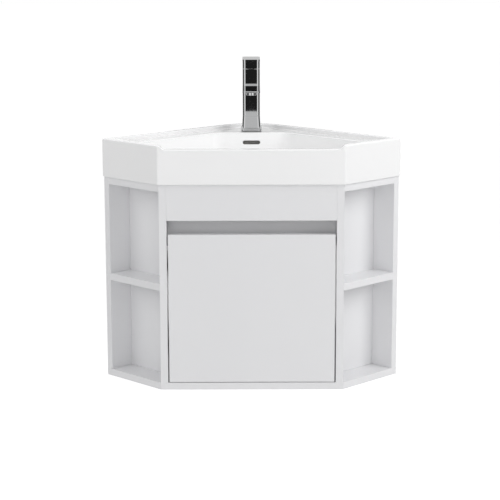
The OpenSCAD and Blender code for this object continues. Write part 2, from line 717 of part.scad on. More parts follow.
module waste_top_seal() color("dimgray") at_waste() tube(flange_d / 2 - 2, tail_d / 2 + seat_gap,
    floor_z - 2 - seal_t, floor_z - 2);
module waste_lower_seal() color("dimgray") at_waste() tube(waste_hole_d / 2 + 8, tail_d / 2 + seat_gap,
    boss_low - lower_seal_t, boss_low);
module waste_nut() color("goldenrod") at_waste() difference() {
    translate([0, 0, waste_nut_low]) {
        cylinder(d = tail_d + 14, h = waste_nut_h + 0.5, $fn = 8);
        translate([0, 0, waste_nut_h]) cylinder(d = waste_hole_d + 15, h = nut_flange_t);
    }
    translate([0, 0, waste_nut_low - 4]) cylinder(d = tail_d, h = 30);
}
module plug_cap() color("silver") at_waste() difference() {
    union() {
        translate([0, 0, plug_z]) cylinder(d = plug_d, h = 2);
        translate([0, 0, plug_z + 2]) cylinder(d1 = plug_d, d2 = plug_d - 6, h = 1.6);
        translate([0, 0, plug_z - plug_boss_h]) cylinder(d = 12, h = plug_boss_h + 1);
    }
    translate([0, 0, plug_z - plug_boss_h - 1]) cylinder(r = plug_stem_r, h = plug_boss_h + 1);
}
module plug_stem() color("gray") at_waste() {
    translate([0, 0, guide_z - 1]) cylinder(r = plug_stem_r, h = plug_z - guide_z + 1);
    translate([0, 0, guide_z - 3]) cylinder(r = plug_stem_r + 2, h = 2.5);
}

// Spring round the stem: a helix of wire between the guide's hub and the plug's boss
module plug_spring() {
    steps = 12;
    sides = 6;
    n = turns * steps;
    climb = spring_high - spring_low - 2 * wire_r;
    points = [for (i = [0:n]) for (k = [0:sides - 1])
        let (a = 360 * i / steps, b = 360 * k / sides, r = coil_r + wire_r * cos(b))
        [r * cos(a), r * sin(a), spring_low + wire_r + climb * i / n + wire_r * sin(b)]];
    skin = [for (i = [0:n - 1]) for (k = [0:sides - 1])
        let (a = i * sides + k, b = i * sides + (k + 1) % sides)
        each [[a, a + sides, b], [b, a + sides, b + sides]]];
    caps = [[for (k = [0:sides - 1]) k], [for (k = [sides - 1:-1:0]) n * sides + k]];
    color("gray") at_waste() polyhedron(points, concat(skin, caps), convexity = 10);
}

basin();
bottom_panel();
left_partition();
right_partition();
left_wall_stile();
right_wall_stile();
left_niche_back();
right_niche_back();
left_niche_top();
right_niche_top();
left_shelf();
right_shelf();
left_top_rail();
right_top_rail();
left_low_rail();
right_low_rail();
corner_post();
fascia();
pull_back();
pull_floor();
dowels();
door();
door_buffers();
hinge_cups();
hinge_cup_screws();
hinge_pins();
hinge_arms();
hinge_plates();
hinge_plate_screws();
tap_body();
tap_base_plate();
tap_base_gasket();
tap_stud();
tap_clamp_seal();
tap_clamp_washer();
tap_stud_nut();
tap_cartridge();
tap_cartridge_nut();
tap_spindle();
tap_spindle_pin();
tap_lever();
tap_lever_screw();
aerator_shell();
aerator_insert();
waste_body();
waste_top_seal();
waste_lower_seal();
waste_nut();
plug_cap();
plug_stem();
plug_spring();
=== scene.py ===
# %% [markdown]
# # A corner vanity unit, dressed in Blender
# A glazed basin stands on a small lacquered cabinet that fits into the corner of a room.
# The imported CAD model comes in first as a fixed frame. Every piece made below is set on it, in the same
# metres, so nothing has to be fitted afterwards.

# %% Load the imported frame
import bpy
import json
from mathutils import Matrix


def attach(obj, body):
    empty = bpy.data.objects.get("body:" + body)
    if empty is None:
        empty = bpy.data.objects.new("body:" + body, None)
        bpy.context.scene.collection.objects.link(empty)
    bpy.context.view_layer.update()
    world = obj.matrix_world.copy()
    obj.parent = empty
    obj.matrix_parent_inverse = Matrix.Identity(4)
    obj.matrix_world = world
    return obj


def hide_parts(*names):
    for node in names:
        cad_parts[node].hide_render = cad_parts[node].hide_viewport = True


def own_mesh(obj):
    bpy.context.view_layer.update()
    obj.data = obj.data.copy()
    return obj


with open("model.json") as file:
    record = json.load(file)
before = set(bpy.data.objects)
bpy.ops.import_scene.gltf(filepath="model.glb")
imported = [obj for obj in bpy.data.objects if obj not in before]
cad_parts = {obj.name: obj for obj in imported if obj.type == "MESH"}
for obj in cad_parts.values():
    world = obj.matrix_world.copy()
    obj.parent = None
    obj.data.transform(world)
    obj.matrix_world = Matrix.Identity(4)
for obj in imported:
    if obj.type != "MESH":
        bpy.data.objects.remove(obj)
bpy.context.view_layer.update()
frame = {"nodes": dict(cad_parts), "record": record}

# %% [markdown]
# ## The plan, in the maker's millimetres
# The drawing of the unit has its front edge at y = 0, the walls' corner far back on the y axis, and its zero
# height between cabinet and basin. Working in those numbers is easier than in metres round the box's
# middle, so one helper takes plan millimetres to the frame's metres, for whole arrays of points at once.

# %% Plan values and the step to metres
import json
import math
import bmesh
import bpy
import numpy as np
from mathutils import Matrix, Vector

ROOT2 = math.sqrt(2)
WALL_LEN, SIDE_LEN = 442.0, 172.5
HALF_W = (WALL_LEN - SIDE_LEN) / ROOT2
APEX_Y = (WALL_LEN + SIDE_LEN) / ROOT2
REAR_R = 90.0
DEPTH = APEX_Y - REAR_R * (ROOT2 - 1)
CABINET_H = 430.0


def metres(points):
    """Plan millimetres to the frame's metres: y less half the depth, z plus the cabinet's height, over 1000."""
    return (np.asarray(points, float) + np.array([0.0, -DEPTH / 2, CABINET_H])) / 1000


print("front half width", round(HALF_W, 2), "walls' corner", round(APEX_Y, 2), "depth", round(DEPTH, 2))

# %% [markdown]
# ## Putting arrays into a mesh
# A surface that closes both ways, like the skin of a ring, is a grid of points whose rows are outlines. The
# faces join each point to its neighbours, and the last row joins the first. Index arithmetic makes all the
# faces at once, which is quick and leaves no seam and no open pole.

# %% Mesh helpers


def new_piece(name, points, faces):
    """A mesh object at the origin from points in metres and an array of faces with equal corner counts."""
    mesh = bpy.data.meshes.new(name)
    mesh.from_pydata(points.tolist(), [], faces.tolist())
    mesh.update()
    piece = bpy.data.objects.new(name, mesh)
    bpy.context.scene.collection.objects.link(piece)
    return piece


def ring_faces(rows, columns, closed=True):
    """Quads of a grid whose columns wrap round, and whose rows do too where it is closed:
    the corners of face (i, j) are (i, j), (i, j+1), (i+1, j+1) and (i+1, j)."""
    i, j = np.meshgrid(np.arange(rows if closed else rows - 1), np.arange(columns), indexing="ij")
    ahead, beside = (i + 1) % rows, (j + 1) % columns
    corners = [i * columns + j, i * columns + beside, ahead * columns + beside, ahead * columns + j]
    return np.stack(corners, axis=-1).reshape(-1, 4)


def soften(piece, angle=35):
    """Smooth shading, kept crisp where two faces meet at more than the angle."""
    mesh = piece.data
    mesh.polygons.foreach_set("use_smooth", np.ones(len(mesh.polygons), bool))
    mesh.set_sharp_from_angle(angle=math.radians(angle))


# %% [markdown]
# ## Outlines with rounded corners
# Seen from above, every level of the basin is a straight-sided outline with rounded corners. An arc that is
# tangent to both edges of a corner starts at radius / tan(half the corner's angle) from it. If each outline
# has the same count of points on each arc and edge, outlines stack into one clean grid.

# %% Rounded outlines
ARC = 12                 # points on each rounded corner
FRONT, SIDES, WALLS, REAR = 96, 22, 30, 14   # points along the straight edges


def outline_corners(front, side, wall, rear_y=None):
    """Corners of the unit's plan, moved in from the front, the slanted sides and the walls. With rear_y, the
    corner between the walls is cut off straight at that y."""
    a, b = HALF_W - side * ROOT2, APEX_Y - wall * ROOT2
    right = [(a + front, front), ((a + b) / 2, (b - a) / 2)]
    left = [(-x, y) for x, y in right[::-1]]
    middle = [(0, b)] if rear_y is None else [(b - rear_y, rear_y), (rear_y - b, rear_y)]
    return np.array([left[1]] + right + middle + [left[0]])


def rounded_outline(corners, radii):
    """Points of a closed outline: an arc at each corner, turning about the point that lies the radius away
    from both edges, then a straight run to the next arc, closer spaced towards the front edge's ends."""
    count = len(corners)
    before, after = np.roll(corners, 1, axis=0) - corners, np.roll(corners, -1, axis=0) - corners
    before /= np.linalg.norm(before, axis=1)[:, None]
    after /= np.linalg.norm(after, axis=1)[:, None]
    half = np.arccos(np.sum(before * after, axis=1)) / 2
    radii = np.asarray(radii, float)
    reach = (radii / np.tan(half))[:, None]
    starts, ends = corners + before * reach, corners + after * reach
    toward = before + after
    centres = corners + toward / np.linalg.norm(toward, axis=1)[:, None] * (radii / np.sin(half))[:, None]
    arcs = [ARC] * count if count == 6 else [ARC, ARC, ARC, 2 * ARC + REAR, ARC]
    runs = [FRONT, SIDES, WALLS, REAR, WALLS, SIDES] if count == 6 else [FRONT, SIDES, WALLS, WALLS, SIDES]
    parts = []
    for k in range(count):
        spoke = starts[k] - centres[k]
        turn = np.linspace(0, math.pi - 2 * half[k], arcs[k])[:, None]
        across = np.array([-spoke[1], spoke[0]])
        parts.append(centres[k] + spoke * np.cos(turn) + across * np.sin(turn))
        along = np.arange(1, runs[k] + 1)[:, None] / (runs[k] + 1)
        if k == 0:
            along = 0.5 - 0.5 * np.cos(math.pi * along)
        parts.append(ends[k] + (starts[(k + 1) % count] - ends[k]) * along)
    return np.concatenate(parts)


print("points in an outline:", len(rounded_outline(outline_corners(0, 0, 0), [6, 6, 3, 90, 3])))

# %% [markdown]
# ## The basin's skin
# The real basin is one slip-cast piece of glazed china: a hollow apron, soft rims, a lowered front rim, ledges
# beside the walls and a deep bowl. It could be carved from blocks with booleans, but glaze rounds every edge
# and booleans leave them sharp. One continuous skin is used instead: outlines go up the outside, over the
# rim, down the bowl, through the waste hole and back under the shell, and the last one joins the first.

# %% Basin levels: rims and ledges
APRON_H, STEP, RIM_W, UPSTAND_W, LEDGE_W = 80.0, 8.0, 15.0, 14.0, 55.0
BOWL_LEN, LIP_R, WASTE_Y, SHELL, SKIRT = 282.0, 3.0, 150.0, 9.0, 12.0
DECK_Z = APRON_H - STEP
rows = []


def add_row(plan, height, front_height=None):
    """Keeps a level: its plan points, its height, and the height it has along the lowered front rim."""
    rows.append((plan, height, height if front_height is None else front_height))


def outer(front, wall, radii, height, front_height=None):
    """A level of the whole outline, moved in by one width at front and sides and another at the walls."""
    add_row(rounded_outline(outline_corners(front, front, wall), radii), height, front_height)


FRONT_EDGE_R, WALL_EDGE_R, TOP_WALL_R = 6.0, 3.0, 3.4      # upright edges of the apron
for inset, z in ((0.9, 0.0), (0.27, 0.27), (0.0, 0.9), (0.0, 30.0), (0.0, 58.0), (0.0, 66.0)):
    front_r = FRONT_EDGE_R - inset
    outer(inset, inset, [front_r, front_r, WALL_EDGE_R, REAR_R - inset, WALL_EDGE_R], z)
for a in np.radians([0, 18, 36, 54, 72, 90]):
    cut, z = LIP_R * (1 - math.cos(a)), APRON_H - LIP_R * (1 - math.sin(a))
    front_r, wall_r = FRONT_EDGE_R - cut, TOP_WALL_R - cut
    outer(cut, cut, [front_r, front_r, wall_r, REAR_R - cut, wall_r], z, z - STEP)
inner_r = 2.4
for a in np.radians([-8, 0, 22, 44, 66, 90]):
    more = inner_r * math.sin(max(a, 0)) - (1.0 if a < 0 else 0)
    z = APRON_H - inner_r * (1 - math.cos(max(a, 0)))
    front, wall = RIM_W - inner_r + more, UPSTAND_W - inner_r + more
    outer(front, wall, [9, 9, 7, REAR_R - wall, 7], z, z - STEP)
foot_r = 2.0
for a in np.radians([0, 30, 60, 90]):
    z = DECK_Z + foot_r * (1 - math.sin(a))
    front, wall = RIM_W + 0.05 + 0.2 * math.sin(a), UPSTAND_W + foot_r * (1 - math.cos(a))
    outer(front, wall, [10, 10, 8, REAR_R - wall, 8], z, 69.5 - 0.3 * math.sin(a))
print("levels up to the ledge:", len(rows))

# %% [markdown]
# ## The bowl
# The bowl's walls are steep and its floor falls softly to the waste. The profile below is written once, as how
# far each level lies in from the bowl's edge and how high it is. The outside of the shell is the same profile,
# moved out and down by the wall's thickness, so the china is equally thick all over, as cast china is.

# %% Basin levels: bowl, waste and the underside
WASTE_R, RECESS_R, BOSS_R, DISH_R = 23.0, 32.5, 33.0, 36.0
PROFILE = np.array([[0.3, 69.4], [3.2, 61.0], [7.6, 48.5], [11.6, 37.5], [14.4, 30.0], [17.2, 25.4],
                    [20.8, 21.8], [25.6, 18.9], [31.6, 16.9], [38.5, 15.4]])
CORNER = np.interp(PROFILE[:, 0], [0.3, 15, 24], [26, 32, 38])
BOWL_DEPTH, BOSS_LEN = 86, 44
FLOOR_Z, BOSS_LOW = DECK_Z - BOWL_DEPTH, DECK_Z - BOWL_DEPTH - BOSS_LEN      # the bowl's lowest floor, the boss's end
REAR_SLOPE = 1.4         # the rear wall lies in this many times as far as the ledges' walls


def bowl_outline(inset, side_inset, radius):
    """The bowl's outline, moved in by inset at the ledges and the rear, and by side_inset at the rims."""
    corners = outline_corners(RIM_W + side_inset, RIM_W + side_inset, LEDGE_W + inset, BOWL_LEN - REAR_SLOPE * inset)
    return rounded_outline(corners, np.array([1, 1, 1, 1.6, 1.6, 1]) * radius)


def circle_under(plan, radius):
    """A circle round the waste with a point in line with each point of the outline."""
    away = plan - np.array([0, WASTE_Y])
    return np.array([0, WASTE_Y]) + radius * away / np.linalg.norm(away, axis=1)[:, None]


edge_r = 2.6
for a in np.radians([-5, 0, 22, 45, 68, 90]):
    more = max(a, 0)
    out = edge_r * (1 - math.sin(more)) + (1.2 if a < 0 else 0)
    z = DECK_Z - edge_r * (1 - math.cos(more))
    plan = bowl_outline(-out, 0.28 + 0.02 * math.sin(more), 26)
    add_row(plan, z, 69.2 - 0.3 * math.sin(more) + (0.05 if a < 0 else 0))
for (inset, z), radius in zip(PROFILE, CORNER):
    add_row(bowl_outline(inset, inset, radius), z, min(z, 68.6))
last_plan, last_z = rows[-1][0], rows[-1][1]
for t in (0.12, 0.3, 0.5, 0.7, 0.86, 0.95, 1.0):
    dish = last_z + (FLOOR_Z - last_z) * (t + 0.10 * t * (1 - t))
    add_row(last_plan * (1 - t) + circle_under(last_plan, DISH_R) * t, dish)
WASTE_LEVELS = [(34.0, FLOOR_Z - 0.4), (33.0, FLOOR_Z - 0.9), (RECESS_R, FLOOR_Z - 1.6), (RECESS_R, FLOOR_Z - 4),
                (WASTE_R, FLOOR_Z - 4), (WASTE_R, FLOOR_Z - 8), (WASTE_R, BOSS_LOW), (BOSS_R, BOSS_LOW),
                (BOSS_R, FLOOR_Z - 14)]
for radius, z in WASTE_LEVELS:
    add_row(circle_under(last_plan, radius), z)

under_plan = bowl_outline(PROFILE[-1, 0] - SHELL, PROFILE[-1, 0] - SHELL, CORNER[-1])
under_z = PROFILE[-1, 1] - SHELL
for t in (1.0, 0.75, 0.5, 0.25):
    z = under_z + (FLOOR_Z - SHELL - under_z) * t
    add_row(under_plan * (1 - t) + circle_under(last_plan, DISH_R + SHELL) * t, z)


def skirt_height(plan, z, meet=48.0, spread=14.0):
    """The height of the shell's underside: where it runs along the skirt at the front and the sides it stays
    at the height where they meet, and it rises to z as the distance from those faces grows."""
    side = (HALF_W + plan[:, 1] - np.abs(plan[:, 0])) / ROOT2
    away = np.clip((np.minimum(plan[:, 1], side) - SKIRT - 0.5) / spread, 0.01, 1)
    return meet + (z - meet) * away * away * (3 - 2 * away)


for (inset, z), radius in list(zip(PROFILE, CORNER))[::-1]:
    close = max(inset - SHELL, SKIRT + 0.4 - RIM_W + 0.02 * (SHELL - inset))
    plan = bowl_outline(inset - SHELL, close, radius)
    height = z - SHELL
    add_row(plan, skirt_height(plan, height) if height > 48 else height)
underside = DECK_Z - SHELL
for front, wall in ((SKIRT + 0.3, 42.0), (SKIRT + 0.2, SKIRT + 4.0), (SKIRT + 0.1, SKIRT + 0.6)):
    plan = rounded_outline(outline_corners(front, front, wall), [8, 8, 8, REAR_R - wall, 8])
    add_row(plan, skirt_height(plan, underside))
skirt_plan = rounded_outline(outline_corners(SKIRT, SKIRT, SKIRT), [8, 8, 8, REAR_R - SKIRT, 8])
for z in (47.0, 24.0, 1.0):
    add_row(skirt_plan, z)
outer(SKIRT - 1, SKIRT - 1, [7, 7, 7, REAR_R - SKIRT + 1, 7], 0.0)
print("levels in all:", len(rows))

# %% [markdown]
# ## Lowering the front rim
# The front rim lies lower than the side rims, and it climbs to them in a soft S at each end. Each level
# already knows both its heights, so all that is left is to blend them: by how near a point is to the ends of
# the front edge, times how near it is to the front.

# %% Blend the front rim and build the basin's skin
S_END, S_LENGTH = 188.6, 12      # half width at which the front rim has its full height, and the S's length
RIM_BACK, RIM_FADE = 18, 8       # depth to which the rim is lowered, and the length over which that fades


def ease(t):
    """Smoothstep: 0 below 0, 1 above 1, and 3t^2 - 2t^3 between."""
    t = np.clip(t, 0, 1)
    return t * t * (3 - 2 * t)


def row_points(plan, height, front_height):
    """Joins plan and height, blending to the front height between the two ends of the front rim."""
    lowered = ease((S_END - np.abs(plan[:, 0])) / S_LENGTH) * (1 - ease((plan[:, 1] - RIM_BACK) / RIM_FADE))
    return np.column_stack([plan, height + (front_height - height) * lowered])


skin = np.stack([row_points(*row) for row in rows])
basin = new_piece("basin_china", metres(skin.reshape(-1, 3)), ring_faces(*skin.shape[:2]))
print("basin skin:", skin.shape[0], "levels of", skin.shape[1], "points")

# %% [markdown]
# ## Overflow duct and tap hole
# Behind the bowl runs a hollow duct that takes water from the overflow slot down to the waste. It is a square
# tube bent once. A tube of rounded squares is swept along the bend for its outside and again, thinner, for
# its inside. A boolean joins the first to the basin and cuts the second out, with slot and tap hole. The
# slot's mouth widens towards the bowl in a few steps, which gives its edge the glaze's soft round.

# %% Overflow duct and tap hole
SLOT_W, SLOT_H, SLOT_DROP, DUCT_T, DUCT_WALL = 38.0, 9.0, 20.0, 8.0, 5.0
TAP_Y, TAP_HOLE_R = 325.0, 17.5


def tube(name, sections):
    """A closed tube: rows of rounded rectangles, each a centre, two half widths, two directions and a corner
    radius. Each point is centre + across * (half width - r + r cos) + up * (half height - r + r sin)."""
    turn = np.arange(32) * 2 * math.pi / 32 + math.pi / 32
    grid = []
    for centre, half_across, half_up, across, up, r in sections:
        a = np.sign(np.cos(turn)) * (half_across - r) + r * np.cos(turn)
        b = np.sign(np.sin(turn)) * (half_up - r) + r * np.sin(turn)
        grid.append(np.array(centre) + np.outer(a, across) + np.outer(b, up))
    grid = np.stack(grid)
    rows_n, cols = grid.shape[:2]
    points = metres(grid.reshape(-1, 3))
    piece = new_piece(name, points, ring_faces(rows_n, cols, closed=False))
    mesh = bmesh.new()
    mesh.from_mesh(piece.data)
    bmesh.ops.holes_fill(mesh, edges=[e for e in mesh.edges if e.is_boundary])
    bmesh.ops.recalc_face_normals(mesh, faces=mesh.faces)
    mesh.to_mesh(piece.data)
    mesh.free()
    return piece


def duct_sections(wall):
    """The duct's sections from its top, down behind the bowl, and forward to the waste. The outside's top is
    set back, so that it doesn't come through the bowl's sloping wall."""
    x, y = [1, 0, 0], [0, 1, 0]
    half = SLOT_W / 2 + wall
    back = BOWL_LEN - 4 + DUCT_T / 2
    top = DECK_Z - SLOT_DROP + SLOT_H / 2 + 1.5 + 1.5 * wall
    bend = FLOOR_Z + 19
    slope = np.array([0.0, -0.29, -1.0])
    slope /= np.linalg.norm(slope)
    return [([0, back + 0.8 * wall, top], half, DUCT_T / 2 + 0.4 * wall, x, y, 2),
            ([0, back, bend + 16], half, DUCT_T / 2 + wall, x, y, 2),
            ([0, back - 3, bend + 4], half, DUCT_T / 2 + wall, x, [0, 0.94, -0.34], 2),
            ([0, back - 16, bend - 4], half - 2, DUCT_T / 2 + wall, x, [0, 0.42, -0.91], 2),
            ([0, WASTE_Y + 34, FLOOR_Z - 22], 16 + wall, 5 + wall, x, [0, 0.3, -0.95], 2),
            ([0, WASTE_Y + (22 if wall else 12), FLOOR_Z - 25], 12 + wall, 5 + wall, x, [0, 0, -1], 2)]


def cut_or_join(target, tool, operation):
    """Applies one boolean with the tool piece and then removes the tool."""
    change = target.modifiers.new("boolean", "BOOLEAN")
    change.operation, change.solver, change.object = operation, "MANIFOLD", tool
    graph = bpy.context.evaluated_depsgraph_get()
    mesh = bpy.data.meshes.new_from_object(target.evaluated_get(graph))
    target.modifiers.clear()
    target.data = mesh
    bpy.data.objects.remove(tool)
    print(operation, "->", len(mesh.polygons), "faces")


cut_or_join(basin, tube("duct_outside", duct_sections(DUCT_WALL)), "UNION")
cut_or_join(basin, tube("duct_inside", duct_sections(0)), "DIFFERENCE")
slot_mid = DECK_Z - SLOT_DROP
wall_y = BOWL_LEN - REAR_SLOPE * np.interp(slot_mid, PROFILE[::-1, 1], PROFILE[::-1, 0])
into_bowl, up_wall = np.array([0, -0.886, 0.464]), np.array([0, 0.464, 0.886])
mouth = [(-14, -0.1), (-1.3, -0.1), (-0.75, 0.02), (-0.35, 0.25), (-0.1, 0.55), (0.05, 0.95), (4.0, 1.3)]
cut_or_join(basin, tube("slot", [(np.array([0, wall_y, slot_mid]) + into_bowl * s, SLOT_W / 2 + grow,
                                  SLOT_H / 2 + grow, [1, 0, 0], up_wall, 4.3 + grow) for s, grow in mouth]),
            "DIFFERENCE")
cut_or_join(basin, tube("tap_hole", [([0, TAP_Y, z], TAP_HOLE_R, TAP_HOLE_R, [1, 0, 0], [0, 1, 0], TAP_HOLE_R - 0.1)
                                     for z in (DECK_Z - 14, DECK_Z + 6)]), "DIFFERENCE")
soften(basin, 38)
basin.modifiers.new("even_normals", "WEIGHTED_NORMAL").keep_sharp = True

# %% [markdown]
# ## Finishes
# Each finish is a small node tree on one Principled shader. Values that are the same all over sit on the
# shader's own sockets. What varies over the surface, such as the faint waviness of a glaze or the orange peel
# of sprayed lacquer, comes from noise on Object coordinates, so it stays put from every side.

# %% Finish helpers


def finish(name, colour, rough, **fixed):
    """A material with its base colour, roughness and other fixed shader values, and its node tree."""
    material = bpy.data.materials.new(name)
    material.use_nodes = True
    shader = material.node_tree.nodes["Principled BSDF"]
    shader.inputs["Base Color"].default_value = (*colour, 1)
    shader.inputs["Roughness"].default_value = rough
    for socket, value in fixed.items():
        shader.inputs[socket.replace("_", " ").title().replace("Ior", "IOR")].default_value = value
    return material


def noise(material, scale, detail=2.0, stretch=(1, 1, 1)):
    """The factor of a noise on Object coordinates, with its size in waves per metre."""
    nodes, links = material.node_tree.nodes, material.node_tree.links
    where, mapping = nodes.new("ShaderNodeTexCoord"), nodes.new("ShaderNodeMapping")
    mapping.inputs["Scale"].default_value = stretch
    texture = nodes.new("ShaderNodeTexNoise")
    texture.inputs["Scale"].default_value = scale
    texture.inputs["Detail"].default_value = detail
    links.new(where.outputs["Object"], mapping.inputs["Vector"])
    links.new(mapping.outputs["Vector"], texture.inputs["Vector"])
    return texture.outputs["Fac"]


def vary(material, socket, factor, low, high):
    """Drives a shader socket between two values, or two colours, by a noise factor."""
    nodes, links = material.node_tree.nodes, material.node_tree.links
    ramp = nodes.new("ShaderNodeValToRGB")
    ramp.color_ramp.interpolation = "EASE"
    ramp.color_ramp.elements[0].position, ramp.color_ramp.elements[1].position = 0.22, 0.78
    for stop, value in zip(ramp.color_ramp.elements, (low, high)):
        stop.color = (*value, 1) if isinstance(value, tuple) else (value, value, value, 1)
    links.new(factor, ramp.inputs["Fac"])
    links.new(ramp.outputs["Color"], nodes["Principled BSDF"].inputs[socket])


def bump(material, factor, height, strength=1.0, target="Normal"):
    """Raises the surface by a noise factor times a height in metres."""
    nodes, links = material.node_tree.nodes, material.node_tree.links
    node = nodes.new("ShaderNodeBump")
    node.inputs["Strength"].default_value = strength
    node.inputs["Distance"].default_value = height
    links.new(factor, node.inputs["Height"])
    links.new(node.outputs["Normal"], nodes["Principled BSDF"].inputs[target])


# %% [markdown]
# ## Glaze and lacquer
# Sanitary glaze is a thick glassy coat over white china: very smooth, with slow waves from firing that bend
# reflections a little. The cabinet's lacquer is duller, a light grey white, with the fine orange peel and the
# slight change of sheen that a spray gun leaves. Both stay close to neutral, as the real ones are. Glaze
# doesn't reach far into the overflow duct, so its inside is bare, rough ware; its dark brownish grey is painted shade
# of the deep duct.

# %% Glaze and lacquer
glaze = finish("white_glaze", (0.92, 0.92, 0.923), 0.22, coat_weight=1.0, coat_roughness=0.03, coat_ior=1.5)
vary(glaze, "Roughness", noise(glaze, 9, 3), 0.2, 0.26)
vary(glaze, "Base Color", noise(glaze, 5, 2), (0.916, 0.917, 0.919), (0.924, 0.924, 0.927))
bump(glaze, noise(glaze, 9, 1), 0.0002, 0.1, "Coat Normal")

lacquer = finish("satin_lacquer", (0.785, 0.785, 0.798), 0.34)
vary(lacquer, "Roughness", noise(lacquer, 7, 3), 0.3, 0.4)
vary(lacquer, "Base Color", noise(lacquer, 4, 3), (0.779, 0.78, 0.793), (0.791, 0.791, 0.803))
bump(lacquer, noise(lacquer, 520, 2), 0.00004, 0.35)
# Bare ware for the duct's inside, painted a dark brownish grey: the dark colour is painted shade that stands in for
# the deep duct's shadow.
bare_ware_and_painted_shade = finish("unglazed_ware_and_painted_shade", (0.3, 0.29, 0.275), 0.8)
vary(bare_ware_and_painted_shade, "Base Color", noise(bare_ware_and_painted_shade, 60, 3), (0.26, 0.25, 0.235), (0.34, 0.33, 0.315))
bump(bare_ware_and_painted_shade, noise(bare_ware_and_painted_shade, 500, 3), 0.0002, 0.5)
print("glaze, lacquer and bare ware ready")

# %% [markdown]
# ## Metals
# Chrome plate mirrors its surroundings almost perfectly, so what makes it believable is the studio round it,
# plus hardly visible wipe marks in its roughness. Nickel-plated steel is greyer and softly brushed, and the
# nuts are turned from bare brass with fine tool marks round their axis.

# %% Metals
chrome = finish("chrome_plate", (0.63, 0.635, 0.64), 0.05, metallic=1.0)
vary(chrome, "Roughness", noise(chrome, 60, 4), 0.01, 0.03)

steel = finish("nickel_steel", (0.62, 0.615, 0.6), 0.3, metallic=1.0)
vary(steel, "Roughness", noise(steel, 220, 3, (1, 1, 0.08)), 0.24, 0.42)
bump(steel, noise(steel, 900, 2, (1, 1, 0.05)), 0.00002, 0.4)

brass = finish("turned_brass", (0.72, 0.53, 0.25), 0.28, metallic=1.0)
vary(brass, "Base Color", noise(brass, 30, 3), (0.66, 0.47, 0.21), (0.76, 0.58, 0.3))
bump(brass, noise(brass, 300, 2, (0.04, 0.04, 4)), 0.00003, 0.5)
print("metals ready")

# %% [markdown]
# ## Rubber, plastics and wood
# These small pieces are seen when the door is open, or from below. Moulded rubber has a fine matt grain,
# nylon a waxy mottling, the door's buffers are soft clear plastic, and the dowels are plain beech with its
# short flecks and ribs along the grain, which runs along X here because the pegs lie across the boards.

# %% Rubber, plastics and wood
rubber = finish("black_rubber", (0.03, 0.03, 0.03), 0.6)
vary(rubber, "Roughness", noise(rubber, 300, 3), 0.5, 0.72)
bump(rubber, noise(rubber, 1400, 2), 0.00005, 0.5)

nylon = finish("moulded_nylon", (0.8, 0.79, 0.74), 0.42, subsurface_weight=0.1)
vary(nylon, "Base Color", noise(nylon, 120, 2), (0.76, 0.75, 0.7), (0.82, 0.81, 0.77))
bump(nylon, noise(nylon, 800, 2), 0.00003, 0.4)

buffer_plastic = finish("soft_clear_plastic", (0.82, 0.82, 0.82), 0.2, transmission_weight=0.35)
vary(buffer_plastic, "Roughness", noise(buffer_plastic, 400, 2), 0.14, 0.28)

beech = finish("plain_beech", (0.62, 0.42, 0.26), 0.55)
vary(beech, "Base Color", noise(beech, 260, 4, (0.12, 1, 1)), (0.52, 0.33, 0.19), (0.68, 0.48, 0.31))
bump(beech, noise(beech, 700, 3, (0.1, 1, 1)), 0.00006, 0.5)

FINISHES = {"ceramic": glaze, "board": lacquer, "chrome": chrome, "steel": steel, "brass": brass,
            "rubber": rubber, "nylon": nylon, "soft_plastic": buffer_plastic, "beech": beech}
FINISH_OF = {"tap_cartridge_nut": steel}     # this brass nut is nickel plated, since it shows in the lever's gap
print("finishes:", ", ".join(FINISHES))

# %% [markdown]
# ## Boards, tap and fittings
# A CAD solid has knife-sharp edges, and nothing real has: lacquer rounds a board's edge by half a
# millimetre, and a cast tap's edges are polished rounder still. Each solid is copied, its loose triangles are
# merged into clean faces, and a Bevel modifier rounds the edges by the amount its trade gives it. Where the
# tap's column begins to flare at its foot a crease is marked, so the faces above it mirror like flat ones.

# %% Softened copies of the CAD solids
record = frame["record"]
BODY_OF = {node: body for body, nodes in record["behaviour"]["bodies"].items() for node in nodes}
SLOT_OF = {part["node"]: part["material_slot"] for part in record["subparts"]}
BEVEL_MM = {"board": 0.6, "chrome": 0.8, "steel": 0.25, "brass": 0.4, "rubber": 0.3, "nylon": 0.25,
            "soft_plastic": 0.5, "beech": 0.5}
BEVEL_OF = {"door": 0.9, "aerator_shell": 0.5, "aerator_insert": 0.12, "tap_lever": 1.1, "plug_cap": 0.6,
            "waste_body": 0.3, "tap_base_plate": 0.7, "plug_spring": 0.0, "tap_base_gasket": 0.2}
CREASE_DEG = 32          # edges sharper than this are bevelled and kept crisp
FLARE_TOP = DECK_Z + 7 + 26      # above the deck: base plate 7, then the column's flaring foot 26


def clean_copy(node, name):
    """A merged copy of a CAD solid: doubled points joined, and triangles of one plane made one face."""
    mesh = bmesh.new()
    mesh.from_mesh(frame["nodes"][node].data)
    bmesh.ops.remove_doubles(mesh, verts=mesh.verts, dist=2e-6)
    bmesh.ops.dissolve_limit(mesh, angle_limit=math.radians(0.6), verts=mesh.verts, edges=mesh.edges)
    data = bpy.data.meshes.new(name)
    mesh.to_mesh(data)
    mesh.free()
    piece = bpy.data.objects.new(name, data)
    bpy.context.scene.collection.objects.link(piece)
    return piece


def settle(piece, node):
    """The piece takes its node's finish and its body, and the node itself is hidden."""
    piece.data.materials.clear()
    piece.data.materials.append(FINISH_OF.get(node, FINISHES[SLOT_OF[node]]))
    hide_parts(node)
    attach(piece, BODY_OF[node])


